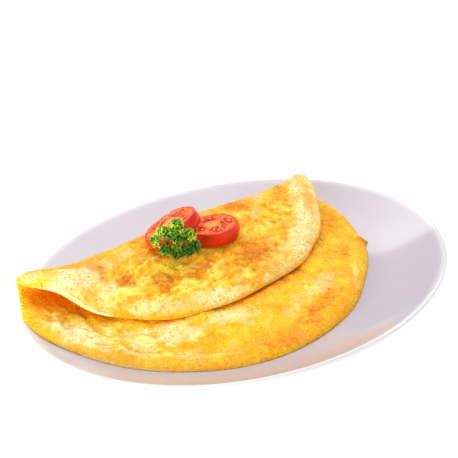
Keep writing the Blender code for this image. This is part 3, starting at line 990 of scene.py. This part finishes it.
def cutFlesh():
    # Ripe tomato, cut with a knife: wet flesh that glows softly, and gel in the pockets
    settings = {
        "Roughness": 0.30,
        "IOR": 1.36,
        "Specular IOR Level": 0.12,
        "Subsurface Weight": 0.4,
        "Subsurface Radius": (1.0, 0.25, 0.12),
        "Subsurface Scale": 0.004,
        "Coat Roughness": 0.06,
    }
    flesh, tree, shader = newMaterial("cut tomato flesh", settings)
    place = addNode(tree, "TexCoord", output="Object")
    # fibres and cells of the flesh, about 2.2 mm and 0.7 mm across
    fibre = addNode(tree, "TexNoise", {"Vector": place, "Scale": 1 / 0.0022, "Detail": 3.0})
    cells = addNode(tree, "TexNoise", {"Vector": place, "Scale": 1 / 0.0007, "Detail": 2.0})
    share = addNode(tree, "MapRange", {"Value": fibre, "From Min": 0.40, "From Max": 0.60})
    settings = {"data_type": "RGBA", 0: share, 6: tomato["wall"], 7: tomato["wallPale"]}
    colour = addNode(tree, "Mix", settings, 2)
    # each zone is broken up by the fibres
    for zone in ("core", "gel", "rim"):
        amount = addNode(tree, "Attribute", {"attribute_name": zone}, "Fac")
        amount = addNode(tree, "Math", {"operation": "MULTIPLY_ADD", 0: fibre, 1: 1.2, 2: amount})
        settings = {"Value": amount, "From Min": 0.85, "From Max": 1.45, "To Max": 0.9}
        amount = addNode(tree, "MapRange", settings)
        colour = addNode(tree, "Mix", {"data_type": "RGBA", 0: amount, 6: colour, 7: tomato[zone]}, 2)
    # juice stands in beads on the flesh
    juice = addNode(tree, "MapRange", {"Value": fibre, "From Min": 0.54, "From Max": 0.64, "To Max": 0.8})
    lift = addNode(tree, "Bump", {"Height": cells, "Strength": 0.7, "Distance": 0.0006})
    feedShader(tree, shader, {"Base Color": colour, "Coat Weight": juice, "Normal": lift})
    return flesh


def tomatoSkin():
    # Smooth under its own wax, so that lamps show on the deep red as soft bands; ripeness drifts over 12 mm
    settings = {
        "Roughness": 0.26,
        "IOR": 1.45,
        "Specular IOR Level": 0.22,
        "Subsurface Weight": 0.4,
        "Subsurface Radius": (1.0, 0.2, 0.1),
        "Subsurface Scale": 0.004,
        "Coat Weight": 0.06,
        "Coat Roughness": 0.1,
    }
    return twoToned("waxy tomato skin", settings, 0.012, 2.0, tomato["skin"], tomato["skinWarm"])


def tomatoSeed():
    # Wet with gel, so that each has a small glint; about 2.5 mm long, so a drift over 3 mm tones each apart
    settings = {
        "Roughness": 0.18,
        "IOR": 1.4,
        "Subsurface Weight": 0.3,
        "Subsurface Radius": (1.0, 0.6, 0.2),
        "Subsurface Scale": 0.001,
        "Coat Weight": 0.6,
        "Coat Roughness": 0.05,
    }
    return twoToned("wet tomato seed", settings, 0.003, 1.0, tomato["seed"], tomato["seedDark"])


finishes = {"flesh": cutFlesh(), "skin": tomatoSkin(), "seed": tomatoSeed()}
for values in tomato["slices"]:
    tomatoSlice(finishes, *values)
print("tomato slices built")


# Parsley: a sprig of curly parsley that stands in front of the slices

parsley = {
    # where the stalk starts on the flap, in mm
    "root": (-32.9, -8.0, 35.6),
    # tufts: middle in mm from the root, radius in mm
    "tufts": (
        ((3.5, 0.5, 23.0), 4.8), ((1.7, -2.5, 17.2), 5.6), ((10.1, -0.5, 15.0), 5.0),
        ((12.6, -1.0, 7.6), 4.3), ((-5.6, -0.5, 19.8), 4.3), ((-10.3, -1.5, 15.2), 4.3),
        ((-5.2, -4.5, 9.6), 4.6), ((1.5, -6.0, 7.0), 4.6), ((8.0, -4.5, 6.4), 4.6),
    ),
    # how far the tufts lean to the front and up
    "lean": (0.0, -0.6, 0.3),
    # leaflets of a tuft spread over this share of its height from the top down, start this share of its
    # radius out, and turn by the golden angle from one to the next
    "leafletsEach": 15,
    "leafletSpread": 0.675,
    "leafletStart": 0.16,
    "leafletTurn": 2.39996,
    # their least and greatest length as shares of that radius, and their rows of points
    "leafletSize": (0.80, 1.10),
    "leafletNet": (6, 30),
    # half opening of a leaflet's fan in degrees; depths of its lobes, small teeth, ruffle and curl as
    # shares of its length
    "fan": 78.0,
    "lobeDepth": 0.42,
    "toothDepth": 0.12,
    "ruffle": 0.34,
    "curl": 0.42,
    "leafThickness": 0.18 * mm,
    "stalkRadius": 0.65 * mm,
    "stalkSides": 8,
    # gap to the flap
    "leastGap": 0.3 * mm,
    # painted shade in the folds
    "deep": "#0C2403",
    "mid": "#4E8C0A",
    # painted highlight on the lit rims
    "paintedHighlight": "#D8EE34",
}


def curlyLeaflet(base, way, roll, reach, lobes, phase):
    # a fan that opens from its base, with pointed lobes along the far rim, curled and ruffled
    rows, count = parsley["leafletNet"]
    t = np.linspace(0.12, 1.0, rows)[:, None]
    spread = np.linspace(-1.0, 1.0, count)[None, :]
    lobe = np.abs((0.5 * lobes * (spread + 1.0)) % 1.0 - 0.5) * 2.0
    tooth = np.abs((1.5 * lobes * (spread + 1.0)) % 1.0 - 0.5) * 2.0
    cut = parsley["lobeDepth"] * lobe + parsley["toothDepth"] * tooth
    far = reach * t * (1.0 - t ** 2 * cut) * (1.0 - 0.22 * spread ** 2)
    angle = math.radians(parsley["fan"]) * spread
    ruffle = parsley["ruffle"] * t ** 1.5 * np.sin(lobes * 2.2 * spread + phase)
    lift = reach * (ruffle + parsley["curl"] * t ** 2 * math.cos(phase * 2.3))
    local = np.stack([far * np.sin(angle), far * np.cos(angle), lift + 0.0 * far], axis=-1).reshape(-1, 3)
    local[:, 1] *= 1.0 - 0.25 * np.abs(local[:, 2]) / reach
    along = Vector(way).normalized()
    side = along.orthogonal().normalized()
    side.rotate(Matrix.Rotation(roll, 3, along))
    axes = np.array([side, along, side.cross(along)])
    return local @ axes + base, np.repeat(t.ravel(), count)


def parsleyLeaf():
    # Fresh curly parsley, with painted light: painted shade, dark in the folds and at the leaflets' bases,
    # and painted highlights, bright yellow-green where the frilled rims catch the light
    settings = {
        "Roughness": 0.38,
        "IOR": 1.45,
        "Subsurface Weight": 0.15,
        "Subsurface Radius": (0.3, 1.0, 0.1),
        "Subsurface Scale": 0.0008,
    }
    leaf, tree, shader = newMaterial("fresh parsley leaf", settings)
    place = addNode(tree, "TexCoord", output="Object")
    paintedLight = addNode(tree, "Attribute", {"attribute_name": "paintedLight"}, "Fac")
    # tone varies from leaf to leaf, about 4 mm, and between the veins, about 0.8 mm
    tone = addNode(tree, "TexNoise", {"Vector": place, "Scale": 1 / 0.004, "Detail": 2.0})
    veins = addNode(tree, "TexNoise", {"Vector": place, "Scale": 1 / 0.0008, "Detail": 2.0})
    # painted shade at the leaflets' bases, mid green towards their tips
    share = addNode(tree, "MapRange", {"Value": paintedLight, "From Min": 0.22, "From Max": 0.80})
    colour = addNode(tree, "Mix", {"data_type": "RGBA", 0: share, 6: parsley["deep"], 7: parsley["mid"]}, 2)
    # painted highlight where the rims are lit, more on the higher tufts
    rim = addNode(tree, "Math", {"operation": "MULTIPLY_ADD", 0: paintedLight, 1: 0.7, 2: tone})
    share = addNode(tree, "MapRange", {"Value": rim, "From Min": 1.02, "From Max": 1.22})
    colour = addNode(tree, "Mix", {"data_type": "RGBA", 0: share, 6: colour, 7: parsley["paintedHighlight"]}, 2)
    lift = addNode(tree, "Bump", {"Height": veins, "Strength": 0.4, "Distance": 0.0003})
    feedShader(tree, shader, {"Base Color": colour, "Normal": lift})
    return leaf


def stalkPoints(start, end, radius):
    way = Vector(end) - Vector(start)
    turned = np.array(way.to_track_quat("Z", "Y").to_matrix())
    angle = fullTurn(parsley["stalkSides"])
    ring = radius * np.stack([np.cos(angle), np.sin(angle), 0.0 * angle], axis=-1) @ turned.T
    return np.concatenate([ring + np.array(start), ring + np.array(end)])


def buildParsley():
    rolls = np.random.default_rng(7)
    root = np.array(parsley["root"]) * mm
    points, faces, paintedLight, placed = [], [], [], 0
    for offset, radius in parsley["tufts"]:
        middle = root + np.array(offset) * mm
        outward = np.array(offset) / np.linalg.norm(offset) + np.array(parsley["lean"])
        outward /= np.linalg.norm(outward)
        turned = np.array(Vector((0.0, 0.0, 1.0)).rotation_difference(Vector(outward)).to_matrix())
        # painted light from above: the higher tufts are brighter
        high = 0.65 + 0.35 * smoothStep(offset[2] / 22.0)
        for k in range(parsley["leafletsEach"]):
            rise = 1.0 - 2.0 * parsley["leafletSpread"] * (k + 0.5) / parsley["leafletsEach"]
            turn = k * parsley["leafletTurn"] + rolls.uniform(-0.3, 0.3)
            level = math.sqrt(max(1.0 - rise * rise, 0.0))
            way = turned @ np.array([level * math.cos(turn), level * math.sin(turn), rise])
            size = radius * mm * rolls.uniform(*parsley["leafletSize"])
            base = middle + way * radius * mm * parsley["leafletStart"]
            roll, lobes, phase = rolls.uniform(0.0, 6.28), int(rolls.integers(3, 6)), rolls.uniform(0.0, 6.28)
            made, share = curlyLeaflet(base, way, roll, size, lobes, phase)
            points.append(made)
            paintedLight.append(share * high * rolls.uniform(0.75, 1.1))
            faces += ringFaces(placed, *parsley["leafletNet"], closed=False)
            placed += len(made)
        stalk = stalkPoints(root, middle + outward * mm, parsley["stalkRadius"])
        points.append(stalk)
        paintedLight.append(np.full(len(stalk), 0.55))
        faces += ringFaces(placed, 2, parsley["stalkSides"])
        placed += len(stalk)
    points = np.concatenate(points)
    flap = flapTop(points[:, 0], points[:, 1])
    points[:, 2] = np.clip(points[:, 2], flap + parsley["leastGap"], cadBox[1][2] - 0.1 * mm)
    piece = meshPiece("parsleySprig", points, faces, parsleyLeaf())
    thick = piece.modifiers.new("leaf thickness", "SOLIDIFY")
    thick.thickness = parsley["leafThickness"]
    thick.offset = 0.0
    paintPoints(piece, "paintedLight", np.concatenate(paintedLight))
    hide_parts("parsley")


buildParsley()
print("parsley built")
